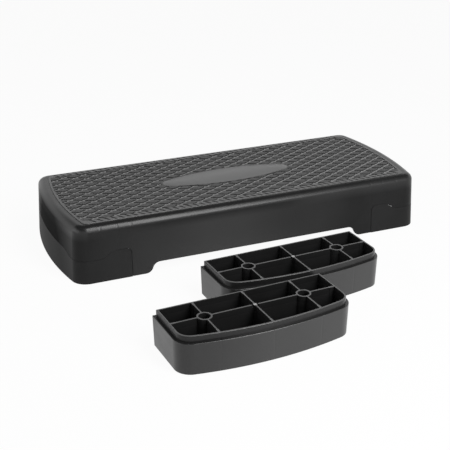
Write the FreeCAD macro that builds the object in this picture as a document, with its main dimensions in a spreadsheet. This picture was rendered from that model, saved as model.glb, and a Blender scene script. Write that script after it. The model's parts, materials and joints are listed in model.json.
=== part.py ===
"""Aerobic step platform with its two loose risers, as a parametric document.

Millimetres, +Z up, floor at z = 0. The origin is on the floor, in the middle of the space the set takes up.
The platform lies along X behind the origin. The risers stand in front of it, towards -Y, open side up.
"""
import FreeCAD, Part
import math
import os

import Sketcher

# Sizes in millimetres and degrees
SIZES = {
    # platform outline
    "platform_length": 680.0,
    "platform_width": 280.0,
    "deck_height": 99.0,
    "end_bow": 17.3,
    "corner_radius": 26.8,
    "wall_draft": 3.0,
    "shoulder_radius": 12.5,
    # platform shell
    "wall_thickness": 3.0,
    "deck_thickness": 4.0,
    "rim_lift": 0.5,
    "heel_length": 23.0,
    "arch_run": 25.0,
    "arch_height": 18.4,
    "rib_thickness": 2.2,
    "rib_depth": 25.0,
    "cross_rib_pitch": 58.0,
    "long_rib_pitch": 53.0,
    # tread mat and centre plate
    "mat_end_border": 24.0,
    "mat_side_border": 17.5,
    "mat_corner_radius": 9.0,
    "mat_thickness": 3.0,
    "mat_recess": 2.0,
    "mat_gap": 0.6,
    "mat_end_rim": 3.6,
    "mat_side_rim": 8.5,
    "rim_corner_radius": 6.0,
    "groove_angle": 28.9,
    "groove_pitch": 17.95,
    "groove_width": 4.8,
    "groove_depth": 0.95,
    "plate_half_length": 124.0,
    "plate_half_width": 32.5,
    "plate_tip_radius": 14.0,
    "plate_thickness": 2.8,
    "plate_gap": 0.3,
    "plate_frame": 2.6,
    # end feet
    "foot_length": 111.0,
    "foot_wall": 3.6,
    "foot_low": 40.0,
    "foot_high": 52.0,
    "foot_end_high": 49.0,
    "foot_corner_radius": 9.0,
    "foot_flat": 26.0,
    "foot_wave_run": 30.0,
    "end_wave_inset": 20.0,
    "end_wave_run": 40.0,
    "seam_gap": 0.4,
    "upright_seam_gap": 0.8,
    "lap_length": 4.0,
    "lap_skin": 1.5,
    "lap_gap": 0.3,
    # foot lugs, posts and screws
    "lug_level": 30.0,
    "lug_thickness": 4.0,
    "lug_width": 18.0,
    "lug_overhang": 8.0,
    "side_screw_from_end": 82.0,
    "side_screw_inset": 14.0,
    "end_screw_inset": 18.0,
    "end_screw_spread": 55.0,
    "post_diameter": 10.0,
    "screw_shank": 4.0,
    "screw_length": 14.0,
    "screw_head_diameter": 8.0,
    "screw_head_height": 2.6,
    "screw_clearance": 0.1,
    # risers
    "riser_depth": 113.0,
    "riser_draft": 1.5,
    "ledge_height": 50.0,
    "lip_height": 10.0,
    "lip_inset": 4.5,
    "lip_back_inset": 3.6,
    "lip_wall": 2.6,
    "riser_floor": 3.5,
    "riser_edge_radius": 1.0,
    "riser_rib_thickness": 2.2,
    "rib_end_thickness": 3.4,
    "rib_end_length": 8.0,
    "boss_spread": 80.6,
    "boss_from_back": 50.5,
    "boss_diameter": 23.0,
    "boss_bore": 18.0,
    "nub_diameter": 6.0,
    "notch_half_length": 5.0,
    "notch_depth": 4.0,
    # rubber pads under the risers
    "pad_diameter": 20.0,
    "pad_thickness": 2.5,
    "pad_proud": 1.0,
    "pad_gap": 0.3,
    "pad_end_inset": 33.0,
    "pad_back_inset": 20.0,
    "pad_row_pitch": 58.0,
    # where the loose risers stand
    "riser_yaw": 2.5,
    "rear_riser_x": -9.3,
    "rear_riser_gap": 97.3,
    "riser_gap": 4.6,
    "riser_stagger": 129.3,
}

# Room that cutting shapes run past the surfaces they cut
SPARE = 5.0
UP = FreeCAD.Vector(0, 0, 1)
QUARTER = math.pi / 2
SKETCH_ORIGIN = (-1, 1)
X_AXIS, Y_AXIS = -1, -2
START, END, CENTRE = 1, 2, 3

doc = FreeCAD.newDocument("step_platform")
sheet = doc.addObject("Spreadsheet::Sheet", "Sizes")
for row, (alias, number) in enumerate(SIZES.items(), start=1):
    sheet.set(f"A{row}", alias.replace("_", " "))
    sheet.set(f"B{row}", str(number))
    sheet.setAlias(f"B{row}", alias)
doc.recompute()


class Size:
    """A number together with the expression that ties it to the sheet."""

    def __init__(self, number, text):
        self.number = float(number)
        self.text = text

    def __add__(self, other):
        other = as_size(other)
        return Size(self.number + other.number, f"({self.text} + {other.text})")

    def __sub__(self, other):
        other = as_size(other)
        return Size(self.number - other.number, f"({self.text} - {other.text})")

    def __mul__(self, other):
        other = as_size(other)
        return Size(self.number * other.number, f"({self.text} * {other.text})")

    def __truediv__(self, other):
        other = as_size(other)
        return Size(self.number / other.number, f"({self.text} / {other.text})")

    def __neg__(self):
        return Size(-self.number, f"(0 - {self.text})")


def as_size(value):
    return value if isinstance(value, Size) else Size(value, str(float(value)))


def size(alias):
    return Size(sheet.get(alias), f"Sizes.{alias}")


def sine(angle):
    return Size(math.sin(math.radians(angle.number)), f"sin({angle.text} * 1 deg)")


def cosine(angle):
    return Size(math.cos(math.radians(angle.number)), f"cos({angle.text} * 1 deg)")


def root(value):
    return Size(math.sqrt(value.number), f"sqrt({value.text})")


def bind(item, path, value):
    item.setExpression(path, as_size(value).text)


def put(item, x=0, y=0, z=0):
    """Moves an object to a point whose coordinates follow the sheet."""
    for letter, value in zip("xyz", (x, y, z)):
        bind(item, f"Placement.Base.{letter}", value)
    return item


# Sizes that several pieces share
half_length = size("platform_length") / 2
half_width = size("platform_width") / 2
end_radius = (half_width * half_width + size("end_bow") * size("end_bow")) / (size("end_bow") * 2)
recess_level = size("deck_height") - size("mat_recess")
cavity_top = recess_level - size("deck_thickness")
rib_bottom = cavity_top - size("rib_depth")
seam_x = half_length - size("foot_length")
arch_low_x = seam_x - size("heel_length")
lug_top = size("lug_level") + size("lug_thickness")
lip_top = size("ledge_height") + size("lip_height")
floor_top = size("pad_proud") + size("riser_floor")
bore_radius = size("boss_bore") / 2
screw_hole_radius = size("screw_shank") / 2 + size("screw_clearance")
side_screw_x = half_length - size("side_screw_from_end")
side_screw_y = half_width - size("side_screw_inset")
end_screw_x = half_length - size("end_screw_inset")
end_screw_y = size("end_screw_spread")
foot_screws = [
    (side_screw_x, side_screw_y),
    (side_screw_x, -side_screw_y),
    (end_screw_x, end_screw_y),
    (end_screw_x, -end_screw_y),
]


# Primitive solids and booleans
def box(name, corner, length, width, height):
    item = doc.addObject("Part::Box", name)
    bind(item, "Length", length)
    bind(item, "Width", width)
    bind(item, "Height", height)
    return put(item, *corner)


def rod(name, foot, radius, height):
    item = doc.addObject("Part::Cylinder", name)
    bind(item, "Radius", radius)
    bind(item, "Height", height)
    return put(item, *foot)


def joined(name, shapes):
    item = doc.addObject("Part::MultiFuse", name)
    item.Shapes = shapes
    return item


def cut(name, base, tool):
    item = doc.addObject("Part::Cut", name)
    item.Base = base
    item.Tool = tool
    return item


def common(name, base, tool):
    item = doc.addObject("Part::Common", name)
    item.Base = base
    item.Tool = tool
    return item


# Sketches: a chain of lines and arcs, each with the way it is travelled
def line(start, end):
    return Part.LineSegment(FreeCAD.Vector(*start, 0), FreeCAD.Vector(*end, 0)), False


def arc(centre, radius, first, last):
    circle = Part.Circle(FreeCAD.Vector(*centre, 0), UP, radius)
    backwards = last < first
    low, high = min(first, last), max(first, last)
    return Part.ArcOfCircle(circle, low, high), backwards


def add_chain(sketch, chain, corners=()):
    """Adds a closed chain. Each joint is smooth unless the piece before it is listed in corners."""
    base = sketch.GeometryCount
    sketch.addGeometry([geometry for geometry, _ in chain], False)
    for i, (_, backwards) in enumerate(chain):
        following = (i + 1) % len(chain)
        leave = START if backwards else END
        enter = END if chain[following][1] else START
        kind = "Coincident" if i in corners else "Tangent"
        sketch.addConstraint(Sketcher.Constraint(kind, base + i, leave, base + following, enter))
    return base


def dimension(sketch, name, kind, where, value):
    index = sketch.addConstraint(Sketcher.Constraint(kind, *where, value.number))
    sketch.renameConstraint(index, name)
    bind(sketch, f"Constraints.{name}", value)


def set_distance(sketch, name, kind, point, value):
    """Holds a point's coordinate, measured from whichever side makes the number positive."""
    if value.number < 0:
        dimension(sketch, name, kind, (*point, *SKETCH_ORIGIN), -value)
    else:
        dimension(sketch, name, kind, (*SKETCH_ORIGIN, *point), value)


def set_x(sketch, name, point, value):
    set_distance(sketch, name, "DistanceX", point, value)


def set_y(sketch, name, point, value):
    set_distance(sketch, name, "DistanceY", point, value)


def set_radius(sketch, name, piece, value):
    dimension(sketch, name, "Radius", (piece,), value)


def level_lines(sketch, flat=(), upright=()):
    for piece in flat:
        sketch.addConstraint(Sketcher.Constraint("Horizontal", piece))
    for piece in upright:
        sketch.addConstraint(Sketcher.Constraint("Vertical", piece))


def new_sketch(body, plane, level=0):
    """A sketch on one of the body's own planes, moved along its normal by level."""
    sketch = body.newObject("Sketcher::SketchObject", f"{body.Name}_sketch")
    support = next(item for item in body.Origin.OriginFeatures if item.Role == plane)
    sketch.AttachmentSupport = [(support, "")]
    sketch.MapMode = "FlatFace"
    bind(sketch, "AttachmentOffset.Base.z", level)
    return sketch


def new_body(name):
    return doc.addObject("PartDesign::Body", name)


def pad(body, sketch, length, draft=None, symmetric=False, down=False):
    item = body.newObject("PartDesign::Pad", f"{body.Name}_pad")
    item.Profile = sketch
    item.SideType = "Symmetric" if symmetric else "One side"
    item.Reversed = down
    bind(item, "Length", length)
    if draft is not None:
        bind(item, "TaperAngle", -draft)
    doc.recompute()
    return item


def round_top(body, feature, level, radius):
    """Rounds every edge of a feature that lies wholly at one level."""
    names = []
    for number, edge in enumerate(feature.Shape.Edges, start=1):
        box_of_edge = edge.BoundBox
        if abs(box_of_edge.ZMin - level.number) < 0.01 and abs(box_of_edge.ZMax - level.number) < 0.01:
            names.append(f"Edge{number}")
    fillet = body.newObject("PartDesign::Fillet", f"{body.Name}_round")
    fillet.Base = (feature, names)
    bind(fillet, "Radius", radius)
    doc.recompute()
    return fillet


def bowed_outline(sketch, reach, breadth, bow_radius, corner_radius):
    """Long outline with two bowed ends: reach and breadth are half sizes."""
    bow_centre = reach - bow_radius
    tuck = breadth.number - corner_radius.number
    corner_x = bow_centre.number + math.sqrt((bow_radius.number - corner_radius.number) ** 2 - tuck**2)
    tilt = math.atan2(tuck, corner_x - bow_centre.number)
    side, radius = breadth.number, corner_radius.number
    add_chain(
        sketch,
        [
            line((-corner_x, -side), (corner_x, -side)),
            arc((corner_x, -tuck), radius, -QUARTER, -tilt),
            arc((bow_centre.number, 0), bow_radius.number, -tilt, tilt),
            arc((corner_x, tuck), radius, tilt, QUARTER),
            line((corner_x, side), (-corner_x, side)),
            arc((-corner_x, tuck), radius, QUARTER, math.pi - tilt),
            arc((-bow_centre.number, 0), bow_radius.number, math.pi - tilt, math.pi + tilt),
            arc((-corner_x, -tuck), radius, math.pi + tilt, 3 * QUARTER),
        ],
    )
    level_lines(sketch, flat=(0, 4))
    set_y(sketch, "front_side", (0, START), -breadth)
    set_y(sketch, "back_side", (4, START), breadth)
    for piece, label, centre in ((2, "right", bow_centre), (6, "left", -bow_centre)):
        sketch.addConstraint(Sketcher.Constraint("PointOnObject", piece, CENTRE, X_AXIS))
        set_x(sketch, f"{label}_bow_centre", (piece, CENTRE), centre)
        set_radius(sketch, f"{label}_bow", piece, bow_radius)
    for piece in (1, 3, 5, 7):
        set_radius(sketch, f"corner_{piece}", piece, corner_radius)


def platform_outline(sketch, inset):
    """The platform's outline at the floor, drawn in by an inset."""
    corner = size("corner_radius") - inset
    bowed_outline(sketch, half_length - inset, half_width - inset, end_radius - inset, corner)


def oval(sketch, gap):
    """The centre plate's outline, let out by a gap: two long arcs joined by two tip arcs."""
    long_half = size("plate_half_length") + gap
    short_half = size("plate_half_width") + gap
    tip = size("plate_tip_radius") + gap
    bow = (long_half * long_half - long_half * tip * 2 + short_half * short_half) / ((short_half - tip) * 2)
    drop = bow - short_half
    tip_x = long_half.number - tip.number
    tilt = math.atan2(drop.number, tip_x)
    first = add_chain(
        sketch,
        [
            arc((tip_x, 0), tip.number, -tilt, tilt),
            arc((0, -drop.number), bow.number, tilt, math.pi - tilt),
            arc((-tip_x, 0), tip.number, math.pi - tilt, math.pi + tilt),
            arc((0, drop.number), bow.number, math.pi + tilt, 2 * math.pi - tilt),
        ],
    )
    for piece, label, centre in ((first + 1, "back", -drop), (first + 3, "front", drop)):
        sketch.addConstraint(Sketcher.Constraint("PointOnObject", piece, CENTRE, Y_AXIS))
        set_y(sketch, f"oval_{label}_centre", (piece, CENTRE), centre)
        set_radius(sketch, f"oval_{label}", piece, bow)
    set_radius(sketch, "right_tip", first, tip)
    set_radius(sketch, "left_tip", first + 2, tip)


def s_curve(run, rise):
    """Radius and turn, in numbers, of two equal arcs that climb a rise over a run."""
    radius = (run**2 + rise**2) / (4 * rise)
    return radius, math.asin(run / (2 * radius))


def hump(sketch, reach, low, high, low_half, high_half, bottom):
    """Area under a line that is raised in the middle, with an S-curve at each side."""
    radius, turn = s_curve(low_half.number - high_half.number, high.number - low.number)
    far, base, low_z, high_z = reach.number, bottom.number, low.number, high.number
    wide, narrow = low_half.number, high_half.number
    add_chain(
        sketch,
        [
            line((-far, base), (far, base)),
            line((far, base), (far, low_z)),
            line((far, low_z), (wide, low_z)),
            arc((wide, low_z + radius), radius, -QUARTER, -QUARTER - turn),
            arc((narrow, high_z - radius), radius, QUARTER - turn, QUARTER),
            line((narrow, high_z), (-narrow, high_z)),
            arc((-narrow, high_z - radius), radius, QUARTER, QUARTER + turn),
            arc((-wide, low_z + radius), radius, turn - QUARTER, -QUARTER),
            line((-wide, low_z), (-far, low_z)),
            line((-far, low_z), (-far, base)),
        ],
        corners=(0, 1, 8, 9),
    )
    level_lines(sketch, flat=(0, 2, 5, 8), upright=(1, 9))
    for first, second in ((3, 4), (6, 7)):
        sketch.addConstraint(Sketcher.Constraint("Equal", first, second))
    set_y(sketch, "bottom", (0, START), bottom)
    set_x(sketch, "right_side", (1, START), reach)
    set_x(sketch, "left_side", (9, START), -reach)
    set_y(sketch, "right_low", (2, START), low)
    set_y(sketch, "left_low", (8, END), low)
    set_y(sketch, "top", (5, START), high)
    set_x(sketch, "right_wave_foot", (2, END), low_half)
    set_x(sketch, "right_wave_head", (5, START), high_half)
    set_x(sketch, "left_wave_head", (5, END), -high_half)
    set_x(sketch, "left_wave_foot", (8, START), -low_half)


def foot_side(sketch, seam, low, high, reach, bottom):
    """Side view of the right foot: upright seam, rounded corner, then a wave down to the low line."""
    corner = size("foot_corner_radius")
    head = seam_x + size("foot_flat")
    tail = head + size("foot_wave_run")
    radius, turn = s_curve(tail.number - head.number, high.number - low.number)
    corner_centre = (seam.number + corner.number, high.number - corner.number)
    add_chain(
        sketch,
        [
            line((seam.number, bottom.number), (reach.number, bottom.number)),
            line((reach.number, bottom.number), (reach.number, low.number)),
            line((reach.number, low.number), (tail.number, low.number)),
            arc((tail.number, low.number + radius), radius, -QUARTER, -QUARTER - turn),
            arc((head.number, high.number - radius), radius, QUARTER - turn, QUARTER),
            line((head.number, high.number), (corner_centre[0], high.number)),
            arc(corner_centre, corner.number, QUARTER, math.pi),
            line((seam.number, corner_centre[1]), (seam.number, bottom.number)),
        ],
        corners=(0, 1, 7),
    )
    level_lines(sketch, flat=(0, 2, 5), upright=(1, 7))
    sketch.addConstraint(Sketcher.Constraint("Equal", 3, 4))
    set_y(sketch, "bottom", (0, START), bottom)
    set_x(sketch, "far_side", (1, START), reach)
    set_y(sketch, "low_line", (2, START), low)
    set_y(sketch, "high_line", (5, START), high)
    set_x(sketch, "wave_tail", (2, END), tail)
    set_x(sketch, "wave_head", (5, START), head)
    set_radius(sketch, "seam_corner", 6, corner)
    set_x(sketch, "seam", (7, START), seam)


def riser_outline(sketch, inset, back_inset):
    """The riser seen from above: straight back, square back corners, bowed front."""
    side = half_width - inset
    radius = size("corner_radius") - inset
    bow = end_radius - inset
    bow_centre = end_radius - size("riser_depth")
    tuck = side.number - radius.number
    corner_y = bow_centre.number - math.sqrt((bow.number - radius.number) ** 2 - tuck**2)
    tilt = math.atan2(tuck, bow_centre.number - corner_y)
    back = -back_inset.number
    add_chain(
        sketch,
        [
            line((side.number, back), (-side.number, back)),
            line((-side.number, back), (-side.number, corner_y)),
            arc((-tuck, corner_y), radius.number, math.pi, 3 * QUARTER - tilt),
            arc((0, bow_centre.number), bow.number, 3 * QUARTER - tilt, 3 * QUARTER + tilt),
            arc((tuck, corner_y), radius.number, 3 * QUARTER + tilt, 4 * QUARTER),
            line((side.number, corner_y), (side.number, back)),
        ],
        corners=(0, 5),
    )
    level_lines(sketch, flat=(0,), upright=(1, 5))
    if back_inset.number:
        set_y(sketch, "back", (0, START), -back_inset)
    else:
        sketch.addConstraint(Sketcher.Constraint("PointOnObject", 0, START, X_AXIS))
    set_x(sketch, "left_side", (1, START), -side)
    set_x(sketch, "right_side", (5, START), side)
    sketch.addConstraint(Sketcher.Constraint("PointOnObject", 3, CENTRE, Y_AXIS))
    set_y(sketch, "bow_centre", (3, CENTRE), bow_centre)
    set_radius(sketch, "bow", 3, bow)
    for piece in (2, 4):
        set_radius(sketch, f"corner_{piece}", piece, radius)


# Platform: the outer form and the hollow inside it
def drafted_block(name, inset, height):
    body = new_body(name)
    sketch = new_sketch(body, "XY_Plane")
    platform_outline(sketch, inset)
    return body, pad(body, sketch, height, draft=size("wall_draft"))


outer, outer_pad = drafted_block("outer_form", as_size(0), size("deck_height"))
round_top(outer, outer_pad, size("deck_height"), size("shoulder_radius"))
cavity, cavity_pad = drafted_block("cavity", size("wall_thickness"), cavity_top)
round_top(cavity, cavity_pad, cavity_top, size("shoulder_radius") - size("wall_thickness"))
foot_core, _ = drafted_block("foot_core", size("foot_wall"), size("foot_high") + SPARE)


def foot_zone(name, gap, upright_gap):
    """Everything below the wavy seam at the right end, drawn back from the seam by the gaps."""
    body = new_body(name)
    seam = seam_x + upright_gap
    low = size("foot_low") - gap
    past_end = half_length + SPARE
    side_sketch = new_sketch(body, "XZ_Plane")
    foot_side(side_sketch, seam, low, size("foot_high") - gap, past_end, as_size(-SPARE))
    pad(body, side_sketch, size("platform_width") + 2 * SPARE, symmetric=True)
    end_sketch = new_sketch(body, "YZ_Plane", seam)
    wave_foot = half_width - size("end_wave_inset")
    wave_head = wave_foot - size("end_wave_run")
    end_high = size("foot_end_high") - gap
    hump(end_sketch, half_width + SPARE, low, end_high, wave_foot, wave_head, as_size(-SPARE))
    pad(body, end_sketch, past_end - seam)
    return body


def behind_seam(name, inset, reach):
    """Strip along the right end's upright seam, from an inset of the wall inwards."""
    core, _ = drafted_block(f"{name}_core", inset, size("foot_high") + SPARE)
    corner = (seam_x - SPARE, -half_width, 0)
    strip = box(f"{name}_strip", corner, reach + SPARE, half_width * 2, size("foot_high") + SPARE)
    return common(name, core, strip)


# The shell's tongue laps behind the foot's edge, which is thinned to take it
tongue = behind_seam("tongue", size("lap_skin") + size("lap_gap"), size("lap_length"))
rebate = behind_seam("rebate", size("lap_skin"), size("lap_length") + size("upright_seam_gap"))
shell_in_foot = joined("shell_in_foot", [foot_core, tongue])


def turned(item, half_turns):
    """Turns an object about the upright axis: the two ends of the platform are alike."""
    item.Placement = FreeCAD.Placement(FreeCAD.Vector(), FreeCAD.Rotation(UP, 180 * half_turns))
    return item


# Underside of the shell: ribs and screw posts
rib_height = size("rib_depth") + SPARE
rib_thickness = size("rib_thickness")
inside = []
cross_count = int(half_length.number // sheet.get("cross_rib_pitch"))
for i in range(-cross_count, cross_count + 1):
    corner = (size("cross_rib_pitch") * i - rib_thickness / 2, -half_width, rib_bottom)
    inside.append(box(f"cross_rib_{i + cross_count}", corner, rib_thickness, half_width * 2, rib_height))
long_count = int(half_width.number // sheet.get("long_rib_pitch"))
for i in range(-long_count, long_count + 1):
    corner = (-half_length, size("long_rib_pitch") * i - rib_thickness / 2, rib_bottom)
    inside.append(box(f"long_rib_{i + long_count}", corner, half_length * 2, rib_thickness, rib_height))

holes = []
ends = (("right", 1), ("left", -1))
for end, sign in ends:
    for i, (x, y) in enumerate(foot_screws):
        foot = (x * sign, y * sign, lug_top)
        inside.append(rod(f"{end}_post_{i}", foot, size("post_diameter") / 2, cavity_top - lug_top + SPARE))
        holes.append(rod(f"{end}_post_hole_{i}", foot, screw_hole_radius, size("screw_length")))

hollow = cut("hollow", cavity, joined("inside_parts", inside))

# Outside cuts of the shell: room for the feet, the arch between them and the tread recess
rooms = []
for half_turns, (end, _) in enumerate(ends):
    room = cut(f"{end}_foot_room", foot_zone(f"{end}_foot_zone", as_size(0), as_size(0)), shell_in_foot)
    rooms.append(turned(room, half_turns))

arch = new_body("arch")
arch_sketch = new_sketch(arch, "XZ_Plane")
arch_high_x = arch_low_x - size("arch_run")
past_ends = half_length + SPARE
hump(arch_sketch, past_ends, size("rim_lift"), size("arch_height"), arch_low_x, arch_high_x, as_size(-SPARE))
pad(arch, arch_sketch, size("platform_width") + 2 * SPARE, symmetric=True)


mat_reach = half_length - size("mat_end_border")
mat_breadth = half_width - size("mat_side_border")


def tread_outline(sketch, gap):
    corner = size("mat_corner_radius") + gap
    bowed_outline(sketch, mat_reach + gap, mat_breadth + gap, end_radius + gap, corner)


recess = new_body("tread_recess")
recess_sketch = new_sketch(recess, "XY_Plane", recess_level)
tread_outline(recess_sketch, size("mat_gap"))
pad(recess, recess_sketch, size("mat_recess") + SPARE)

shell_cuts = joined("shell_cuts", [hollow, *rooms, arch, recess, *holes])
shell = cut("platform_shell", outer, shell_cuts)

# Tread mat and the smooth plate in its middle, both bonded to the recess floor
mat_sheet = new_body("mat_sheet")
mat_sketch = new_sketch(mat_sheet, "XY_Plane", recess_level)
tread_outline(mat_sketch, as_size(0))
oval(mat_sketch, size("plate_gap"))
pad(mat_sheet, mat_sketch, size("mat_thickness"))

# Grooves part the mat into diamonds, inside a plain rim and off a plain frame round the plate
groove_floor = recess_level + size("mat_thickness") - size("groove_depth")
groove_height = size("groove_depth") + SPARE
field_reach = mat_reach - size("mat_end_rim")
field_breadth = mat_breadth - size("mat_side_rim")
field = new_body("groove_field")
field_sketch = new_sketch(field, "XY_Plane", groove_floor)
field_bow = end_radius - size("mat_end_rim")
bowed_outline(field_sketch, field_reach, field_breadth, field_bow, size("rim_corner_radius"))
oval(field_sketch, size("plate_gap") + size("plate_frame"))
pad(field, field_sketch, groove_height)


def grooves(name, angle):
    """Parallel grooves at an angle to the platform's length, half a pitch off its middle."""
    along, across = cosine(angle), sine(angle)
    pitch, width = size("groove_pitch"), size("groove_width")
    reach = half_length + half_width
    span = field_reach.number * abs(across.number) + field_breadth.number * abs(along.number)
    count = int(span / pitch.number + 0.5)
    bars = []
    for i in range(-count, count):
        side = pitch * (i + 0.5) - width / 2
        corner = (-reach * along - side * across, side * along - reach * across, groove_floor)
        bar = box(f"{name}_bar_{i + count}", corner, reach * 2, width, groove_height)
        bar.Placement.Rotation = FreeCAD.Rotation(UP, 1)
        bind(bar, "Placement.Rotation.Angle", angle)
        bars.append(bar)
    return common(name, field, joined(f"{name}_bars", bars))


def grooved_mat():
    rising = size("groove_angle")
    half_grooved = cut("half_grooved_mat", mat_sheet, grooves("rising_grooves", rising))
    return cut("tread_mat", half_grooved, grooves("falling_grooves", as_size(180) - rising))


plate = new_body("centre_plate")
plate_sketch = new_sketch(plate, "XY_Plane", recess_level)
oval(plate_sketch, as_size(0))
pad(plate, plate_sketch, size("plate_thickness"))


# End feet, each with four lugs inside that are screwed up to the shell's posts
def end_foot(end):
    form = foot_zone(f"{end}_foot_form", size("seam_gap"), size("upright_seam_gap"))
    block = common(f"{end}_foot_block", outer, form)
    lug_width = size("lug_width")
    lug_thickness = size("lug_thickness")
    lugs = []
    lug_holes = []
    for i, (x, y) in enumerate(foot_screws):
        side = 1 if y.number > 0 else -1
        if x is side_screw_x:
            inner = side_screw_y - size("lug_overhang")
            near = inner if side > 0 else -half_width
            corner = (x - lug_width / 2, near, size("lug_level"))
            lug = box(f"{end}_lug_{i}", corner, lug_width, half_width - inner, lug_thickness)
        else:
            inner = end_screw_x - size("lug_overhang")
            corner = (inner, y - lug_width / 2, size("lug_level"))
            lug = box(f"{end}_lug_{i}", corner, half_length - inner, lug_width, lug_thickness)
        lugs.append(lug)
        hole_foot = (x, y, size("lug_level") - SPARE)
        hole_depth = lug_thickness + 2 * SPARE
        lug_holes.append(rod(f"{end}_lug_hole_{i}", hole_foot, screw_hole_radius, hole_depth))
    room = cut(f"{end}_foot_inside", foot_core, joined(f"{end}_lugs", lugs))
    return cut(f"{end}_end_foot", block, joined(f"{end}_foot_cuts", [room, rebate, *lug_holes]))


def screws(end):
    head_radius = size("screw_head_diameter") / 2
    head_height = size("screw_head_height")
    shank_radius = size("screw_shank") / 2
    items = []
    for i, (x, y) in enumerate(foot_screws):
        seat = (x, y, size("lug_level"))
        head_foot = (x, y, size("lug_level") - head_height)
        head = rod(f"{end}_screw_head_{i}", head_foot, head_radius, head_height)
        shank = rod(f"{end}_screw_shank_{i}", seat, shank_radius, size("screw_length"))
        items.append(joined(f"{end}_screw_{i}", [head, shank]))
    group = doc.addObject("Part::Compound", f"{end}_foot_screws")
    group.Links = items
    return group


feet = [end_foot(end) for end, _ in ends]
screw_groups = [screws(end) for end, _ in ends]


# Riser: a ledge block with a raised lip, hollowed from above into eight pockets
def riser_block(name, inset, back_inset, bottom, top, draft=None, edge=None):
    """A block drawn at its top, so that a draft narrows it towards the floor."""
    body = new_body(name)
    sketch = new_sketch(body, "XY_Plane", top)
    riser_outline(sketch, inset, back_inset)
    block = pad(body, sketch, top - bottom, draft=draft, down=True)
    if edge is not None:
        round_top(body, block, top, edge)
    return body


def pad_places():
    x = half_width - size("pad_end_inset")
    back = -size("pad_back_inset")
    front = back - size("pad_row_pitch")
    return [(-x, back), (x, back), (-x, front), (x, front)]


def riser_ribs(name):
    """Ribs, ring bosses and the middle nub, from the floor up to the lip."""
    rib = size("riser_rib_thickness")
    thick = size("rib_end_thickness")
    height = lip_top - floor_top
    depth = size("riser_depth")
    middle = -size("boss_from_back")
    notch = size("notch_half_length")
    inner_side = half_width - size("lip_inset") - size("lip_wall")
    inner_back = size("lip_back_inset") + size("lip_wall")
    inner_bow = end_radius - size("lip_inset") - size("lip_wall")
    end_length = size("rib_end_length")
    parts = []
    for side, label in ((-1, "left"), (1, "right")):
        start = notch if side > 0 else -half_width
        corner = (start, middle - rib / 2, floor_top)
        parts.append(box(f"{name}_{label}_long_rib", corner, half_width - notch, rib, height))
        start = inner_side - end_length if side > 0 else -half_width
        corner = (start, middle - thick / 2, floor_top)
        reach = half_width - inner_side + end_length
        parts.append(box(f"{name}_{label}_long_end", corner, reach, thick, height))
    corner = (-notch, middle - rib / 2, floor_top)
    parts.append(box(f"{name}_notched_rib", corner, notch * 2, rib, height - size("notch_depth")))
    for i in (-1, 0, 1):
        x = size("boss_spread") * i
        corner = (x - rib / 2, -depth, floor_top)
        parts.append(box(f"{name}_cross_rib_{i + 1}", corner, rib, depth, height))
        inner_front = root(inner_bow * inner_bow - x * x) - end_radius + depth
        corner = (x - thick / 2, -depth, floor_top)
        front_end = depth - inner_front + end_length
        parts.append(box(f"{name}_front_end_{i + 1}", corner, thick, front_end, height))
        back_end = inner_back + end_length
        corner = (x - thick / 2, -back_end, floor_top)
        parts.append(box(f"{name}_back_end_{i + 1}", corner, thick, back_end, height))
    for i in (-1, 1):
        foot = (size("boss_spread") * i, middle, floor_top)
        parts.append(rod(f"{name}_boss_{i + 1}", foot, size("boss_diameter") / 2, height))
    nub_foot = (0, middle, floor_top)
    parts.append(rod(f"{name}_nub", nub_foot, size("nub_diameter") / 2, height))
    return parts


def riser(name):
    no_inset = as_size(0)
    lip_in, lip_back = size("lip_inset"), size("lip_back_inset")
    wall, edge, bottom = size("lip_wall"), size("riser_edge_radius"), size("pad_proud")
    ledge, draft = size("ledge_height"), size("riser_draft")
    block = riser_block(f"{name}_block", no_inset, no_inset, bottom, ledge, draft, edge)
    lip = riser_block(f"{name}_lip", lip_in, lip_back, floor_top, lip_top, edge=edge)
    tray = riser_block(f"{name}_tray", lip_in + wall, lip_back + wall, floor_top, lip_top + SPARE)
    cuts = [cut(f"{name}_pockets", tray, joined(f"{name}_ribs", riser_ribs(name)))]
    for i in (-1, 1):
        foot = (size("boss_spread") * i, -size("boss_from_back"), floor_top)
        cuts.append(rod(f"{name}_bore_{i + 1}", foot, bore_radius, lip_top - floor_top + SPARE))
    seat_radius = size("pad_diameter") / 2 + size("pad_gap")
    for i, (x, y) in enumerate(pad_places(), start=1):
        cuts.append(rod(f"{name}_pad_seat_{i}", (x, y, 0), seat_radius, size("pad_thickness")))
    return cut(name, joined(f"{name}_solid", [block, lip]), joined(f"{name}_cuts", cuts))


# Places: the set is centred on the origin, with the risers staggered in front of the platform
yaw = size("riser_yaw")
turn_sin, turn_cos = sine(yaw), cosine(yaw)
row_depth = size("riser_depth") + size("riser_gap")
bow_to_back = end_radius - size("riser_depth")
front_reach = end_radius - bow_to_back * turn_cos
set_depth = size("rear_riser_gap") + size("riser_stagger") * turn_sin + row_depth * turn_cos + front_reach
platform_y = set_depth / 2
rear_y = platform_y - half_width - size("rear_riser_gap")
front_x = size("rear_riser_x") - size("riser_stagger") * turn_cos + row_depth * turn_sin
front_y = rear_y - size("riser_stagger") * turn_sin - row_depth * turn_cos
pieces = []


def keep(item, label, x, y, angle):
    """Names a finished piece and stands it in its place."""
    item.Label = label
    item.Placement = FreeCAD.Placement(FreeCAD.Vector(), FreeCAD.Rotation(UP, 1))
    bind(item, "Placement.Rotation.Angle", angle)
    put(item, x, y, 0)
    pieces.append(item)


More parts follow.
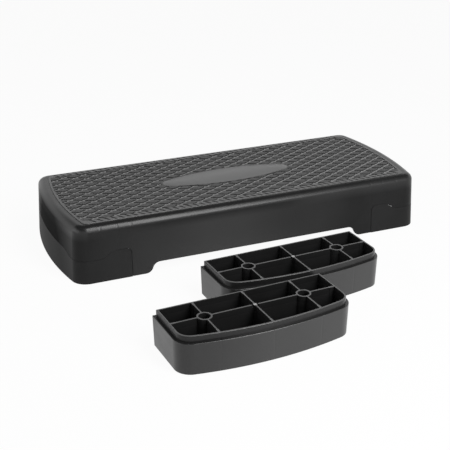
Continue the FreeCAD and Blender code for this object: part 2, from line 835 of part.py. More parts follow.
for item, label in ((shell, "platform_shell"), (grooved_mat(), "tread_mat"), (plate, "centre_plate")):
    keep(item, label, 0, platform_y, 0)
for half_turns, (end, _) in enumerate(ends):
    keep(feet[half_turns], f"{end}_end_foot", 0, platform_y, 180 * half_turns)
    keep(screw_groups[half_turns], f"{end}_foot_screws", 0, platform_y, 180 * half_turns)
for name, x, y in (("riser_front", front_x, front_y), ("riser_rear", size("rear_riser_x"), rear_y)):
    keep(riser(name), name, x, y, yaw)
    for i, (pad_x, pad_y) in enumerate(pad_places(), start=1):
        rubber = rod(f"{name}_pad_{i}", (0, 0, 0), size("pad_diameter") / 2, size("pad_thickness"))
        place_x = x + pad_x * turn_cos - pad_y * turn_sin
        place_y = y + pad_x * turn_sin + pad_y * turn_cos
        keep(rubber, f"{name}_pad_{i}", place_x, place_y, yaw)

doc.recompute()

# Nothing is written unless every feature worked and every piece is sound
for item in doc.Objects:
    if "Invalid" in item.State or "Error" in item.State:
        raise RuntimeError(f"{item.Name} failed: {item.State}")
for item in pieces:
    solids = len(item.Shape.Solids)
    wanted = len(foot_screws) if item in screw_groups else 1
    if item.Shape.isNull() or not item.Shape.isValid() or solids != wanted:
        raise RuntimeError(f"{item.Label} isn't sound: {solids} solids, {wanted} wanted")

os.makedirs("parts", exist_ok=True)
for item in pieces:
    item.Shape.exportStep(f"parts/{item.Label}.step")
    bounds = item.Shape.BoundBox
    print(f"{item.Label}: {item.Shape.Volume / 1000:.1f} cm3, z {bounds.ZMin:.2f} to {bounds.ZMax:.2f}")
print(f"platform y {platform_y.number:.2f}, rear riser y {rear_y.number:.2f}")
print(f"front riser x {front_x.number:.2f}, y {front_y.number:.2f}")
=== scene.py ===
"""Looks of the aerobic step platform and its two loose risers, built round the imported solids.

Metres, +Z up, floor at z = 0, in the same frame as the solids. Helper outlines are in millimetres.
"""
import bmesh
import bpy
import json
import math
from mathutils import Matrix, Vector
from mathutils.geometry import delaunay_2d_cdt

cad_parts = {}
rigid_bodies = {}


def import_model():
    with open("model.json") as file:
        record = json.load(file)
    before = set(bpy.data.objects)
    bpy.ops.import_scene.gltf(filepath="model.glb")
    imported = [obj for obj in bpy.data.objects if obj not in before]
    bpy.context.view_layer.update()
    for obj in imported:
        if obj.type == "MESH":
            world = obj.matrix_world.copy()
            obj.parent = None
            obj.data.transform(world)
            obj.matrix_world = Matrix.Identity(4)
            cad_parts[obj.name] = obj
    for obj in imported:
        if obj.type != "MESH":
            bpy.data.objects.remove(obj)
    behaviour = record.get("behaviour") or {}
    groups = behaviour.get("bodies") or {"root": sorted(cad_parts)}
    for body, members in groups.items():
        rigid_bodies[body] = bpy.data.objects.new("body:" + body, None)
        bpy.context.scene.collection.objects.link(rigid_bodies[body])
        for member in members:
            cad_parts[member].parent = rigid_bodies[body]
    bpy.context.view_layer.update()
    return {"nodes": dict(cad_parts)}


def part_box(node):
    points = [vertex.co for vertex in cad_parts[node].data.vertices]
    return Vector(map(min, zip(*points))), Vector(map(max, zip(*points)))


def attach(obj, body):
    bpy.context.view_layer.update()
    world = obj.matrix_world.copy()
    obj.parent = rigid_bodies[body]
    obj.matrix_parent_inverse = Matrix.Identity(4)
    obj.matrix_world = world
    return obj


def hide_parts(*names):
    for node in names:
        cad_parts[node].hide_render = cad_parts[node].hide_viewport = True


for left_over in list(bpy.data.objects):
    bpy.data.objects.remove(left_over)
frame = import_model()
nodes = frame["nodes"]

MM = 0.001
WELD_M, WELD_MM = 1e-7, 1e-5


def millimetres(node):
    """Lowest and highest corners of a solid at rest."""
    low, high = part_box(node)
    return low / MM, high / MM


# Where the pieces stand, in millimetres, as in the solids
shell_low, shell_high = millimetres("platform_shell")
PLATFORM_Y = (shell_low.y + shell_high.y) / 2
RISER_PLACES = {"riser_front": (-133.35, -193.49), "riser_rear": (-9.3, -70.37)}
RISER_YAW = math.radians(2.5)
RIB_SPREAD, RIB_MIDDLE, NUB_RADIUS = 80.6, -50.5, 2.8

# Where the platform's plastic changes its look, in metres, and its gloss and roughness there
SHOULDER_FROM, SHOULDER_GLOSS, WALL_GLOSS = (0.074, 0.09), 0.34, 0.1
# Painted light: middle and reach of a pale pool of light painted on the long walls
PAINTED_LIGHT_MIDDLE, PAINTED_LIGHT_REACH = -0.065, (0.03, 0.25)
WORN_REACH, WORN_TOP, WORN_ROUGH = (0.322, 0.334), (0.088, 0.0985), (0.3, 0.6)
SHOULDER_SINKS, SHOULDER_SINK_HALF = (0.227, 0.251, 0.280), 0.0025
SINK_DEPTH = 0.0003

# The same for the risers
RISER_SINK_HALF = 0.0022
# Painted highlights on the risers: a pale top rim and a paler spot on the nub
RIM_FROM, RIM_HIGHLIGHT_GREY, NUB_HIGHLIGHT_GREY, NUB_HIGHLIGHT_CORE = (0.0593, 0.0599), 0.1, 0.4, 0.7
LIP_FROM, LIP_DULLING = (0.0495, 0.0505), 0.5
DULL_REACH, RISER_GLOSS = (-0.14, 0.0), (0.5, 0.85)

# Part of a noise texture's range that is used
NOISE_RANGE = (0.3, 0.7)

# Tread mat
mat_low, mat_high = millimetres("tread_mat")
MAT_REACH, MAT_BREADTH, MAT_CORNER = mat_high.x, mat_high.y - PLATFORM_Y, 9.0
END_RADIUS = 575.1
MAT_BOTTOM, MAT_TOP = mat_low.z, mat_high.z
MAT_EDGE = 0.4
GROOVE_ANGLE, GROOVE_PITCH = math.radians(28.9), 17.95
GROOVE_HALF, GROOVE_FLOOR = 2.4, MAT_TOP - 0.95
CHAMFER, CHAMFER_DROP = 0.3, 0.1
END_RIM, SIDE_RIM, RIM_CORNER = 3.6, 13.6, 6.0
TOOTH_PITCH, TOOTH_GROOVE, TOOTH_SLANT, TOOTH_END = 12.0, 3.6, 7.0, 26.0
TOOTH_INNER, TOOTH_OUTER, TOOTH_FLOOR = MAT_BREADTH - 13.0, MAT_BREADTH - 3.2, MAT_TOP - 0.6
LEVEL_DIGITS = 4

# Smooth oval plate in the middle of the tread
plate_high = millimetres("centre_plate")[1]
PLATE_REACH, PLATE_BREADTH, PLATE_TIP = plate_high.x, plate_high.y - PLATFORM_Y, 14.0
PLATE_TOP, PLATE_EDGE, PLATE_GAP = plate_high.z, 0.5, 0.3
PLATE_FRAME, PLATE_TURN = 2.6, 0.3

# Screws and pads
SCREW_PLACES = [(258.0, 126.0), (258.0, -126.0), (322.0, 55.0), (322.0, -55.0)]
SCREW_SEAT, SCREW_HEAD, SCREW_HEAD_RADIUS, SCREW_RADIUS, SCREW_LENGTH = 30.0, 2.6, 4.0, 2.0, 14.0
HEAD_ROUNDING = [(2.6, 0.0), (3.5, 0.35), (SCREW_HEAD_RADIUS, 1.2)]
RECESS_DEPTH, RECESS_FLOOR, RECESS_MOUTH = 1.5, (1.5, 0.5), (2.1, 0.8)
THREAD_TURNS, THREAD_START, THREAD_SPAN = 8, 1.0, SCREW_LENGTH - 3.0
THREAD_ROOT, THREAD_CREST = SCREW_RADIUS - 0.35, 0.45
TIP_LENGTH, TIP_RADIUS = 1.5, 0.5
PAD_RADIUS, PAD_HEIGHT, PAD_EDGE, PAD_TURN = 10.0, 2.5, 0.6, 0.17
PAD_GROOVES, PAD_MOUTH, PAD_BED, PAD_DEPTH = (4.0, 7.0), 0.6, 0.4, 0.5

# Camera fitted to the outline of the platform in the photograph
CAMERA_AZIMUTH, CAMERA_ELEVATION = math.radians(-23.165), math.radians(23.461)
CAMERA_DISTANCE, CAMERA_SLIDE, CAMERA_LIFT, AIM_HEIGHT = 1.795476, -0.002564, -0.047234, 0.05
SENSOR, FOCAL_PIXELS, PHOTO_PIXELS = 36.0, 965.85, 450.0

# Studio
FLOOR_HALF, FLOOR_LEVEL, FLOOR_ROUGH, FLOOR_WHITE = 6.0, 0.86, 0.8, 0.95
WORLD_FILL = 0.35
CEILING = (0.42, 0.62, 1.0, 0.08)


# Outlines, as lists of points that go round once
def arc(centre, radius, start, end, steps):
    turns = [start + (end - start) * i / steps for i in range(steps + 1)]
    return [(centre[0] + radius * math.cos(a), centre[1] + radius * math.sin(a)) for a in turns]


def bowed_outline(reach, breadth, bow, corner):
    """Rectangle with bowed ends and rounded corners."""
    bow_x = reach - bow
    corner_y = breadth - corner
    corner_x = bow_x + math.sqrt((bow - corner) ** 2 - corner_y ** 2)
    lean = math.atan2(corner_y, corner_x - bow_x)
    right = arc((corner_x, -corner_y), corner, -math.pi / 2, -lean, 10)
    right += arc((bow_x, 0), bow, -lean, lean, 30)[1:]
    right += arc((corner_x, corner_y), corner, lean, math.pi / 2, 10)[1:]
    return right + [(-x, -y) for x, y in right]


def oval_outline(grow):
    """Pointed oval of two wide arcs with rounded tips."""
    reach, breadth, tip = PLATE_REACH + grow, PLATE_BREADTH + grow, PLATE_TIP + grow
    wide = ((reach - tip) ** 2 + breadth ** 2 - tip ** 2) / (2 * (breadth - tip))
    lean = math.atan2(wide - breadth, reach - tip)
    half = arc((reach - tip, 0), tip, -lean, lean, 16)
    half += arc((0, breadth - wide), wide, lean, math.pi - lean, 48)[1:-1]
    return half + [(-x, -y) for x, y in half]


# Mesh helpers
class Solid:
    """Mesh in the making, fed with points in millimetres."""

    def __init__(self, origin=(0.0, 0.0)):
        self.mesh = bmesh.new()
        self.origin = origin

    def vert(self, x, y, z):
        return self.mesh.verts.new(((x + self.origin[0]) * MM, (y + self.origin[1]) * MM, z * MM))

    def ring(self, points, z):
        return [self.vert(x, y, z) for x, y in points]

    def face(self, verts, coat=0):
        made = self.mesh.faces.new(verts)
        made.material_index = coat

    def bridge(self, low, high):
        count = len(low)
        for i in range(count):
            j = (i + 1) % count
            self.face([low[i], low[j], high[j], high[i]])

    def lathe(self, centre, profile, steps):
        """Rings round an upright axis. Each profile entry is a radius or a rule for it, and a height."""
        rings = []
        for radius, z in profile:
            turns = [2 * math.pi * i / steps for i in range(steps)]
            reach = [radius(a) if callable(radius) else radius for a in turns]
            points = []
            for r, a in zip(reach, turns):
                points.append((centre[0] + r * math.cos(a), centre[1] + r * math.sin(a)))
            rings.append(self.ring(points, z))
        for low, high in zip(rings, rings[1:]):
            self.bridge(low, high)
        self.face(rings[0][::-1])
        self.face(rings[-1])

    def piece(self, name, body, materials, replaced, smooth=None):
        bmesh.ops.remove_doubles(self.mesh, verts=self.mesh.verts, dist=WELD_M)
        bmesh.ops.recalc_face_normals(self.mesh, faces=self.mesh.faces)
        data = bpy.data.meshes.new(name)
        self.mesh.to_mesh(data)
        self.mesh.free()
        for material in materials:
            data.materials.append(material)
        thing = bpy.data.objects.new(name, data)
        bpy.context.scene.collection.objects.link(thing)
        if smooth is not None:
            data.shade_smooth()
            data.set_sharp_from_angle(angle=math.radians(smooth))
        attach(thing, body)
        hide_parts(replaced)


def flat_mesh(outlines):
    """Triangles between closed outlines, with where each point came from and the outlines round each."""
    points, polygons = [], []
    for outline in outlines:
        polygons.append(list(range(len(points), len(points) + len(outline))))
        points += [Vector(p) for p in outline]
    points, _, triangles, origins, _, owners = delaunay_2d_cdt(points, [], polygons, 1, WELD_MM)
    return points, triangles, origins, owners


# Materials
def math_node(tree, operation, a, b=None):
    """Result of one sum, fed with sockets or plain numbers."""
    made = tree.nodes.new("ShaderNodeMath")
    made.operation = operation
    for socket, value in zip(made.inputs, (a, b)):
        if isinstance(value, bpy.types.NodeSocket):
            tree.links.new(value, socket)
        elif value is not None:
            socket.default_value = value
    return made.outputs["Value"]


class Paint:
    """Node material with one main shader."""

    def __init__(self, name, **sockets):
        self.material = bpy.data.materials.new(name)
        self.material.use_nodes = True
        self.tree = self.material.node_tree
        self.tree.nodes.clear()
        output = self.tree.nodes.new("ShaderNodeOutputMaterial")
        self.shader = self.node("ShaderNodeBsdfPrincipled", **sockets)
        self.link(self.shader.outputs["BSDF"], output.inputs["Surface"])
        self.place = self.node("ShaderNodeTexCoord").outputs["Object"]

    def node(self, kind, **sockets):
        made = self.tree.nodes.new(kind)
        for label, value in sockets.items():
            made.inputs[label.replace("_", " ")].default_value = value
        return made

    def link(self, a, b):
        self.tree.links.new(a, b)

    def math(self, operation, a, b=None):
        return math_node(self.tree, operation, a, b)

    def away(self, value, middle):
        """Distance of a value from a middle."""
        return self.math("ABSOLUTE", self.math("SUBTRACT", value, middle))

    def fed(self, label):
        """What an input of the shader is fed with so far."""
        return self.shader.inputs[label].links[0].from_socket

    def mapped(self, scale=(1, 1, 1), location=(0, 0, 0), turn=0.0, kind="POINT"):
        made = self.node("ShaderNodeMapping", Scale=scale, Location=location, Rotation=(0, 0, turn))
        made.vector_type = kind
        self.link(self.place, made.inputs["Vector"])
        return made.outputs["Vector"]

    def parted(self, place):
        made = self.tree.nodes.new("ShaderNodeSeparateXYZ")
        self.link(place, made.inputs["Vector"])
        return made.outputs

    def noise(self, scale, detail, place=None):
        made = self.node("ShaderNodeTexNoise", Scale=scale, Detail=detail)
        self.link(place or self.place, made.inputs["Vector"])
        return made.outputs["Fac"]

    def span(self, value, low, high, to_low, to_high):
        made = self.node("ShaderNodeMapRange", From_Min=low, From_Max=high, To_Min=to_low,
                         To_Max=to_high)
        self.link(value, made.inputs["Value"])
        return made.outputs["Result"]

    def mix(self, share, dark, light):
        made = self.tree.nodes.new("ShaderNodeMix")
        made.data_type = "RGBA"
        self.link(share, made.inputs["Factor"])
        for label, value in (("A", dark), ("B", light)):
            socket = [s for s in made.inputs if s.name == label and s.type == "RGBA"][0]
            if isinstance(value, bpy.types.NodeSocket):
                self.link(value, socket)
            else:
                socket.default_value = (*value, 1.0)
        return [s for s in made.outputs if s.type == "RGBA"][0]

    def eased(self, noise, low, high):
        """The used part of a noise, stretched from low to high."""
        return self.span(noise, *NOISE_RANGE, low, high)

    def tones(self, noise, dark, light):
        return self.mix(self.eased(noise, 0.0, 1.0), dark, light)

    def color(self, value):
        self.link(value, self.shader.inputs["Base Color"])

    def rough(self, value):
        self.link(value, self.shader.inputs["Roughness"])

    def gloss(self, value):
        self.link(value, self.shader.inputs["Specular IOR Level"])

    def bump(self, height, strength, distance, below=None):
        made = self.node("ShaderNodeBump", Strength=strength, Distance=distance)
        self.link(height, made.inputs["Height"])
        if below is not None:
            self.link(below, made.inputs["Normal"])
        return made.outputs["Normal"]

    def normal(self, value):
        self.link(value, self.shader.inputs["Normal"])


def grey(level, tint=1.0):
    return (level, level, level * tint)


def moulded(name, level, rough, grain, specular):
    """Black moulded plastic: cloudy tone, handled patches of gloss and a fine spark-eroded grain."""
    paint = Paint(name, Specular_IOR_Level=specular)
    cloud = paint.noise(14.0, 4.0)
    paint.color(paint.tones(cloud, grey(level * 0.86), grey(level * 1.16, 1.01)))
    flow = paint.noise(6.0, 5.0, paint.mapped(scale=(1.0, 4.0, 9.0)))
    paint.rough(paint.eased(flow, *rough))
    fine = paint.noise(2600.0, 2.0)
    coarse = paint.noise(420.0, 3.0)
    below = paint.bump(coarse, strength=grain * 0.4, distance=0.00008)
    paint.normal(paint.bump(fine, strength=grain, distance=0.00006, below=below))
    return paint


def handled_and_painted_light(paint, painted_light_grey, end_gloss):
    """A glossy shoulder, duller ends and a painted pool of light: the walls are painted paler near the
    middle.
    """
    parts = paint.parted(paint.place)
    wall = paint.span(parts["Z"], *SHOULDER_FROM, 1.0, 0.0)
    # Painted light: the walls' colour is painted paler round a point a little left of the middle
    near_middle = paint.span(paint.away(parts["X"], PAINTED_LIGHT_MIDDLE), *PAINTED_LIGHT_REACH, 1.0, 0.0)
    painted_light = paint.math("MULTIPLY", near_middle, wall)
    paint.color(paint.mix(painted_light, paint.fed("Base Color"), grey(painted_light_grey)))
    at_end = paint.span(paint.math("ABSOLUTE", parts["X"]), *WORN_REACH, 0.0, 1.0)
    worn = paint.math("MULTIPLY", at_end, paint.span(parts["Z"], *WORN_TOP, 1.0, 0.0))
    paint.rough(paint.math("MAXIMUM", paint.fed("Roughness"), paint.span(worn, 0.0, 1.0, *WORN_ROUGH)))
    shine = paint.span(wall, 0.0, 1.0, SHOULDER_GLOSS, WALL_GLOSS)
    paint.gloss(paint.math("MULTIPLY", shine, paint.span(worn, 0.0, 1.0, 1.0, end_gloss)))
    return paint.material


def shell_plastic():
    """The platform's plastic, with faint sink marks across the long shoulders near each end."""
    paint = moulded("shell_plastic_look", level=0.014, rough=(0.28, 0.34), grain=0.08, specular=0.2)
    along = paint.math("ABSOLUTE", paint.parted(paint.place)["X"])
    nearest = None
    for middle in SHOULDER_SINKS:
        away = paint.away(along, middle)
        nearest = away if nearest is None else paint.math("MINIMUM", nearest, away)
    sink = paint.span(nearest, 0.0, SHOULDER_SINK_HALF, 0.0, 1.0)
    paint.normal(paint.bump(sink, strength=0.4, distance=SINK_DEPTH, below=paint.fed("Normal")))
    return handled_and_painted_light(paint, painted_light_grey=0.05, end_gloss=0.04)


def foot_plastic():
    paint = moulded("foot_plastic_look", level=0.016, rough=(0.4, 0.48), grain=0.16, specular=0.1)
    return handled_and_painted_light(paint, painted_light_grey=0.034, end_gloss=0.8)


def riser_plastic(name, place):
    """Satin plastic with sink lines at the ribs, duller on lip and left, with painted highlights on the
    top rim and nub.
    """
    paint = moulded(name, level=0.012, rough=(0.28, 0.36), grain=0.12, specular=0.85)
    own = paint.mapped(location=(place[0] * MM, place[1] * MM, 0), turn=RISER_YAW, kind="TEXTURE")
    parts = paint.parted(own)
    across = paint.math("ABSOLUTE", parts["X"])
    nearest = paint.math("MINIMUM", paint.away(across, RIB_SPREAD * MM), across)
    sink = paint.span(nearest, 0.0, RISER_SINK_HALF, 0.0, 1.0)
    paint.normal(paint.bump(sink, strength=0.5, distance=SINK_DEPTH, below=paint.fed("Normal")))
    from_nub = paint.math("MAXIMUM", across, paint.away(parts["Y"], RIB_MIDDLE * MM))
    # Painted highlights: the top rim is painted pale and the nub's top paler still
    nub_highlight = paint.span(from_nub, NUB_RADIUS * MM, NUB_HIGHLIGHT_CORE * NUB_RADIUS * MM, 0.0, 1.0)
    rim = paint.mix(nub_highlight, grey(RIM_HIGHLIGHT_GREY), grey(NUB_HIGHLIGHT_GREY))
    paint.color(paint.mix(paint.span(parts["Z"], *RIM_FROM, 0.0, 1.0), paint.fed("Base Color"), rim))
    dull_lip = paint.span(parts["Z"], *LIP_FROM, 1.0, LIP_DULLING)
    paint.gloss(paint.math("MULTIPLY", paint.span(parts["X"], *DULL_REACH, *RISER_GLOSS), dull_lip))
    return paint.material


def tread_rubber():
    """Rubber with a fine speckle and faint patches."""
    paint = Paint("tread_rubber_look", Specular_IOR_Level=0.35)
    speckle = paint.noise(1500.0, 2.0)
    patch = paint.noise(11.0, 4.0)
    tone = paint.tones(patch, grey(0.054), grey(0.066))
    paint.color(paint.mix(paint.span(speckle, 0.55, 0.8, 0.0, 0.35), tone, grey(0.09)))
    paint.rough(paint.eased(patch, 0.48, 0.56))
    paint.normal(paint.bump(speckle, strength=0.2, distance=0.0001))
    return paint.material


def tread_smooth(name, level, specular, rough):
    """Same rubber, smoother on rim, chamfers and channels; paler channel floors are a painted highlight,
    near-black walls painted shade.
    """
    paint = Paint(name, Specular_IOR_Level=specular)
    patch = paint.noise(16.0, 4.0)
    paint.color(paint.tones(patch, grey(level * 0.86), grey(level * 1.14)))
    paint.rough(paint.eased(patch, *rough))
    paint.normal(paint.bump(paint.noise(1800.0, 2.0), strength=0.06, distance=0.00006))
    return paint.material


def plate_plastic():
    paint = Paint("plate_plastic_look", Specular_IOR_Level=0.3)
    brushed = paint.noise(60.0, 3.0, paint.mapped(scale=(0.25, 6.0, 1.0)))
    paint.color(paint.tones(brushed, grey(0.155), grey(0.173)))
    paint.rough(paint.eased(brushed, 0.42, 0.5))
    paint.normal(paint.bump(paint.noise(1800.0, 2.0), strength=0.08, distance=0.00006))
    return paint.material


def screw_steel():
    paint = Paint("screw_steel_look", Metallic=1.0)
    stain = paint.noise(700.0, 3.0)
    paint.color(paint.tones(stain, (0.44, 0.44, 0.46), (0.62, 0.62, 0.61)))
    paint.rough(paint.eased(stain, 0.25, 0.42))
    return paint.material


def pad_rubber():
    paint = Paint("pad_rubber_look", Specular_IOR_Level=0.3)
    speckle = paint.noise(1400.0, 2.0)
    paint.color(paint.mix(paint.span(speckle, 0.4, 0.75, 0.0, 1.0), grey(0.022), grey(0.045)))
    paint.rough(paint.eased(speckle, 0.62, 0.8))
    paint.normal(paint.bump(speckle, strength=0.4, distance=0.0001))
    return paint.material


LOOKS = {
    "shell": shell_plastic(),
    "foot": foot_plastic(),
    "tread": tread_rubber(),
    "tread_rim": tread_smooth("tread_rim_look", level=0.062, specular=0.45, rough=(0.28, 0.36)),
    # Painted highlight: the polished channel floors are painted paler than the pads
    "channel": tread_smooth("tread_channel_highlight_look", level=0.075, specular=0.8, rough=(0.15, 0.2)),
    # Painted shade: the walls between levels and the tooth grooves are painted near black
    "channel_wall_shade": tread_smooth("tread_wall_painted_shade_look", level=0.01, specular=0.2, rough=(0.4, 0.5)),
    "plate": plate_plastic(),
    "screw": screw_steel(),
    "pad": pad_rubber(),
}
for riser, place in RISER_PLACES.items():
    LOOKS[riser] = riser_plastic(f"{riser}_plastic_look", place)


def dress(node, look):
    for slot in nodes[node].material_slots:
        slot.material = LOOKS[look]


for node, look in (("platform_shell", "shell"), ("left_end_foot", "foot"), ("right_end_foot", "foot"),
                   ("riser_front", "riser_front"), ("riser_rear", "riser_rear")):
    dress(node, look)


# Tread mat: diamonds parted by grooves, a toothed border along both sides and a plain rim at the ends
# The last coat is painted shade, near black, for walls and tooth grooves
RIM_COAT, TOP_COAT, FLOOR_COAT, SHADE_WALL_COAT = range(4)


def diamonds(margin):
    """Diamonds that reach the mat, drawn in by a margin from the middles of their grooves."""
    half_x = GROOVE_PITCH / math.sin(GROOVE_ANGLE) / 2
    half_y = GROOVE_PITCH / math.cos(GROOVE_ANGLE) / 2
    share = 1 - 2 * margin / GROOVE_PITCH
    made = []
    columns, rows = int(MAT_REACH / half_x), int(MAT_BREADTH / half_y)
    for i in range(-columns, columns + 1):
        for j in range(-rows, rows + 1):
            x, y = i * half_x, j * half_y
            a, b = half_x * share, half_y * share
            if (i + j) % 2 == 0:
                made.append([(x + a, y), (x, y + b), (x - a, y), (x, y - b)])
    return made


def from_groove(point):
    """Distance from the middle of the nearest groove."""
    nearest = GROOVE_PITCH
    for lean in (GROOVE_ANGLE, -GROOVE_ANGLE):
        across = (point.y * math.cos(lean) - point.x * math.sin(lean)) / GROOVE_PITCH
        nearest = min(nearest, abs(across % 1.0 - 0.5) * GROOVE_PITCH)
    return nearest


def tooth_grooves():
    """Short slanted grooves along both long sides."""
    count = int((MAT_REACH - TOOTH_END) / TOOTH_PITCH)
    made = []
    for side in (-1, 1):
        for i in range(-count, count + 1):
            near, far = i * TOOTH_PITCH - TOOTH_SLANT / 2, i * TOOTH_PITCH + TOOTH_SLANT / 2
            inner = [(near + TOOTH_GROOVE, TOOTH_INNER), (near, TOOTH_INNER)]
            outer = [(far, TOOTH_OUTER), (far + TOOTH_GROOVE, TOOTH_OUTER)]
            made.append([(px * -side, py * side) for px, py in inner + outer])
    return made


def build_tread():
    solid = Solid((0.0, PLATFORM_Y))
    edge = bowed_outline(MAT_REACH, MAT_BREADTH, END_RADIUS, MAT_CORNER)
    top_edge = bowed_outline(MAT_REACH - MAT_EDGE, MAT_BREADTH - MAT_EDGE, END_RADIUS,
                             MAT_CORNER - MAT_EDGE)
    hole = oval_outline(PLATE_GAP)
    top_hole = oval_outline(PLATE_GAP + MAT_EDGE)
    field = bowed_outline(MAT_REACH - END_RIM, MAT_BREADTH - SIDE_RIM, END_RADIUS - END_RIM, RIM_CORNER)
    plate_frame = oval_outline(PLATE_GAP + PLATE_FRAME)
    groups = [[top_edge], [top_hole], [field], [plate_frame], diamonds(GROOVE_HALF),
              diamonds(GROOVE_HALF + CHAMFER), tooth_grooves()]
    group_of = [number for number, group in enumerate(groups) for _ in group]
    points, triangles, origins, owners = flat_mesh([outline for group in groups for outline in group])
    corners, seams = {}, {}

    def corner(index, z):
        if (index, z) not in corners:
            corners[index, z] = solid.vert(points[index].x, points[index].y, z)
        return corners[index, z]

    for triangle, owner in zip(triangles, owners):
        mat, opening, grooved, framed, pad, pad_top, tooth = (
            any(group_of[o] == number for o in owner) for number in range(len(groups)))
        if opening or not mat:
            continue
        patterned = grooved and not framed
        levels = [tread_level(points[i], patterned, pad, pad_top, tooth) for i in triangle]
        coat = tread_coat(patterned, framed, pad, pad_top, tooth)
        solid.face([corner(i, z) for i, z in zip(triangle, levels)], coat)
        for k in range(3):
            (i, z_i), (j, z_j) = sorted([(triangle[k], levels[k]), (triangle[k - 1], levels[k - 1])])
            beside_i, beside_j = seams.setdefault((i, j), (z_i, z_j))
            if (beside_i, beside_j) != (z_i, z_j):
                wall = [corner(i, z_i), corner(j, z_j), corner(j, beside_j), corner(i, beside_i)]
                solid.face(list(dict.fromkeys(wall)), SHADE_WALL_COAT)

    place_of = {source: index for index, sources in enumerate(origins) for source in sources}
    top = round(MAT_TOP, LEVEL_DIGITS)
    outer_rim = [corner(place_of[i], top) for i in range(len(top_edge))]
    inner_rim = [corner(place_of[len(top_edge) + i], top) for i in range(len(top_hole))]
    close_sides(solid, outer_rim, edge, inner_rim, hole)
    looks = [LOOKS[look] for look in ("tread_rim", "tread", "channel", "channel_wall_shade")]
    solid.piece("tread_lattice", "platform", looks, "tread_mat")


def tread_coat(patterned, framed, pad, pad_top, tooth):
    """Textured pad tops and frame, polished channels painted paler as a highlight, tooth grooves in
    painted shade and a smooth rim.
    """
    if patterned and not pad_top:
        return RIM_COAT if pad else FLOOR_COAT
    if patterned or framed:
        return TOP_COAT
    return SHADE_WALL_COAT if tooth else RIM_COAT


def tread_level(point, patterned, pad, pad_top, tooth):
    """Height of the tread at a point: rim and pads on top, chamfers down to the grooves."""
    level = MAT_TOP
    if patterned and not pad:
        level = GROOVE_FLOOR
    elif patterned and not pad_top:
        share = (from_groove(point) - GROOVE_HALF) / CHAMFER
        level = MAT_TOP - CHAMFER_DROP * (1 - min(1.0, share))
    elif tooth and not patterned:
        level = TOOTH_FLOOR
    return round(level, LEVEL_DIGITS)


def close_sides(solid, outer_rim, edge, inner_rim, hole):
    """Chamfered outside, wall round the oval and the underside."""
    for rim, outline in ((outer_rim, edge), (inner_rim, hole)):
        shoulder = solid.ring(outline, MAT_TOP - MAT_EDGE)
        base = solid.ring(outline, MAT_BOTTOM)
        solid.bridge(shoulder, rim)
        solid.bridge(base, shoulder)
    points, triangles, _, owners = flat_mesh([edge, hole])
    bottom = [solid.vert(p.x, p.y, MAT_BOTTOM) for p in points]
    for triangle, owner in zip(triangles, owners):
        if 1 not in owner:
            solid.face([bottom[i] for i in triangle])


build_tread()


# Smooth oval plate with a softened edge
def build_plate():
    solid = Solid((0.0, PLATFORM_Y))
    turn = PLATE_TURN * PLATE_EDGE
    levels = [(0.0, MAT_BOTTOM), (0.0, PLATE_TOP - PLATE_EDGE), (-turn, PLATE_TOP - turn),
              (-PLATE_EDGE, PLATE_TOP)]
    rings = [solid.ring(oval_outline(grow), z) for grow, z in levels]
    for low, high in zip(rings, rings[1:]):
        solid.bridge(low, high)
    solid.face(rings[0][::-1])
    solid.face(rings[-1])
    looks = [LOOKS["plate"]]
    solid.piece("centre_oval", "platform", looks, "centre_plate", smooth=50)


build_plate()


# Pan-head screws with a cross recess, seen from below
def cross(arm, core):
    return lambda a: core + (arm - core) * max(0.0, math.cos(4 * a)) ** 3


def build_screws(end, sign):
    solid = Solid((0.0, PLATFORM_Y))
    low, tip = SCREW_SEAT - SCREW_HEAD, SCREW_SEAT + SCREW_LENGTH
    profile = [(cross(*RECESS_FLOOR), low + RECESS_DEPTH), (cross(*RECESS_MOUTH), low)]
    profile += [(radius, low + rise) for radius, rise in HEAD_ROUNDING]
    profile += [(SCREW_HEAD_RADIUS, SCREW_SEAT), (SCREW_RADIUS, SCREW_SEAT)]
    for i in range(THREAD_TURNS):
        z = SCREW_SEAT + THREAD_START + THREAD_SPAN * i / THREAD_TURNS
        profile += [(THREAD_ROOT, z), (SCREW_RADIUS, z + THREAD_CREST)]
    profile += [(THREAD_ROOT, tip - TIP_LENGTH), (TIP_RADIUS, tip)]
    for x, y in SCREW_PLACES:
        solid.lathe((x * sign, y * sign), profile, steps=48)
    name = f"{end}_foot_screws"
    solid.piece(f"{end}_pan_screws", "platform", [LOOKS["screw"]], name, smooth=40)


for end, sign in (("right", 1), ("left", -1)):
    build_screws(end, sign)


# Round pads with a softened edge and two grooves underneath
def build_pad(riser, number):
    node = f"{riser}_pad_{number}"
    low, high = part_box(node)
    centre = ((low.x + high.x) / 2 / MM, (low.y + high.y) / 2 / MM)
    solid = Solid()
    profile = []
    for middle in PAD_GROOVES:
        profile += [(middle - PAD_MOUTH, 0.0), (middle - PAD_BED, PAD_DEPTH),
                    (middle + PAD_BED, PAD_DEPTH), (middle + PAD_MOUTH, 0.0)]
    profile += [(PAD_RADIUS - PAD_EDGE, 0.0), (PAD_RADIUS - PAD_TURN, PAD_TURN),
                (PAD_RADIUS, PAD_EDGE), (PAD_RADIUS, PAD_HEIGHT)]
    solid.lathe(centre, profile, steps=64)
    solid.piece(f"{riser}_foot_pad_{number}", riser, [LOOKS["pad"]], node, smooth=50)


for riser in RISER_PLACES:
    for number in range(1, 5):
        build_pad(riser, number)


# Floor, light and camera
def seen_directly(tree):
    """One for rays of the camera, of mirrors and through glass, else zero."""
    path = tree.nodes.new("ShaderNodeLightPath")
    glossy, through = path.outputs["Is Glossy Ray"], path.outputs["Is Transmission Ray"]
    mirrored = math_node(tree, "MAXIMUM", glossy, through)
    return math_node(tree, "MAXIMUM", path.outputs["Is Camera Ray"], mirrored)


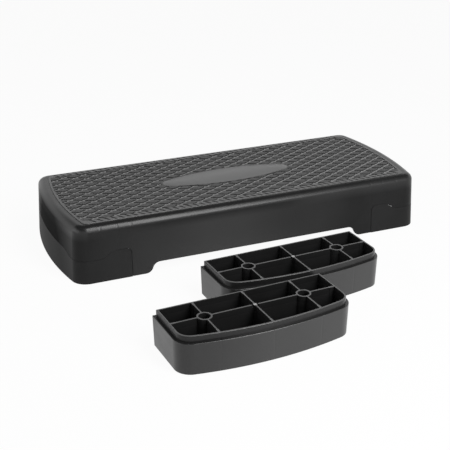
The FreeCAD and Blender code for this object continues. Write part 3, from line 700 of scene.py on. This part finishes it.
def build_floor():
    """Pale floor that reads nearly white and still shows a little of the shadow."""
    data = bpy.data.meshes.new("floor")
    corners = [(FLOOR_HALF * x, FLOOR_HALF * y, 0.0) for x, y in ((-1, -1), (1, -1), (1, 1), (-1, 1))]
    data.from_pydata(corners, [], [(0, 1, 2, 3)])
    floor = bpy.data.objects.new("floor", data)
    bpy.context.scene.collection.objects.link(floor)
    material = bpy.data.materials.new("floor_look")
    material.use_nodes = True
    tree = material.node_tree
    shader = tree.nodes["Principled BSDF"]
    shader.inputs["Base Color"].default_value = (*grey(FLOOR_LEVEL), 1.0)
    shader.inputs["Roughness"].default_value = FLOOR_ROUGH
    shader.inputs["Specular IOR Level"].default_value = 0.0
    white = tree.nodes.new("ShaderNodeEmission")
    blend = tree.nodes.new("ShaderNodeMixShader")
    tree.links.new(math_node(tree, "MULTIPLY", seen_directly(tree), FLOOR_WHITE), blend.inputs["Fac"])
    tree.links.new(shader.outputs["BSDF"], blend.inputs[1])
    tree.links.new(white.outputs["Emission"], blend.inputs[2])
    tree.links.new(blend.outputs["Shader"], tree.nodes["Material Output"].inputs["Surface"])
    data.materials.append(material)


def build_world():
    """White studio wall all round under a darker ceiling."""
    world = bpy.data.worlds.new("studio")
    world.use_nodes = True
    bpy.context.scene.world = world
    tree = world.node_tree
    background = tree.nodes["Background"]
    background.inputs["Color"].default_value = (1.0, 1.0, 1.0, 1.0)
    direction = tree.nodes.new("ShaderNodeSeparateXYZ")
    tree.links.new(tree.nodes.new("ShaderNodeTexCoord").outputs["Generated"], direction.inputs["Vector"])
    ceiling = tree.nodes.new("ShaderNodeMapRange")
    for label, value in zip(("From Min", "From Max", "To Min", "To Max"), CEILING):
        ceiling.inputs[label].default_value = value
    tree.links.new(direction.outputs["Z"], ceiling.inputs["Value"])
    level = tree.nodes.new("ShaderNodeMapRange")
    level.inputs["To Min"].default_value = WORLD_FILL
    level.inputs["To Max"].default_value = 1.0
    tree.links.new(seen_directly(tree), level.inputs["Value"])
    strength = math_node(tree, "MULTIPLY", level.outputs["Result"], ceiling.outputs["Result"])
    tree.links.new(strength, background.inputs["Strength"])


def softbox(name, place, aim, width, height, watts):
    lamp = bpy.data.lights.new(name, "AREA")
    lamp.shape = "RECTANGLE"
    lamp.size, lamp.size_y = width, height
    lamp.energy = watts
    thing = bpy.data.objects.new(name, lamp)
    thing.location = place
    thing.rotation_euler = (Vector(aim) - Vector(place)).to_track_quat("-Z", "Y").to_euler()
    bpy.context.scene.collection.objects.link(thing)


def build_camera():
    aim = Vector((0.0, PLATFORM_Y * MM, AIM_HEIGHT))
    level = math.cos(CAMERA_ELEVATION)
    back = Vector((math.sin(CAMERA_AZIMUTH) * level, -math.cos(CAMERA_AZIMUTH) * level,
                   math.sin(CAMERA_ELEVATION)))
    right = (-back).cross(Vector((0, 0, 1))).normalized()
    up = right.cross(-back)
    data = bpy.data.cameras.new("camera")
    data.sensor_width = SENSOR
    data.lens = SENSOR * FOCAL_PIXELS / PHOTO_PIXELS
    camera = bpy.data.objects.new("camera", data)
    turn = Matrix((right, up, back)).transposed().to_4x4()
    eye = aim + back * CAMERA_DISTANCE + right * CAMERA_SLIDE + up * CAMERA_LIFT
    camera.matrix_world = Matrix.Translation(eye) @ turn
    bpy.context.scene.collection.objects.link(camera)
    bpy.context.scene.camera = camera


build_floor()
build_world()
softbox("front_softbox", place=(0.42, -1.28, 1.36), aim=(-0.1, 0.1, 0.05),
        width=0.6, height=1.8, watts=38.0)
softbox("left_softbox", place=(-2.2, 0.2, 0.9), aim=(0.0, 0.0, 0.05),
        width=2.4, height=1.4, watts=14.0)
build_camera()
bpy.context.scene.view_settings.view_transform = "Standard"
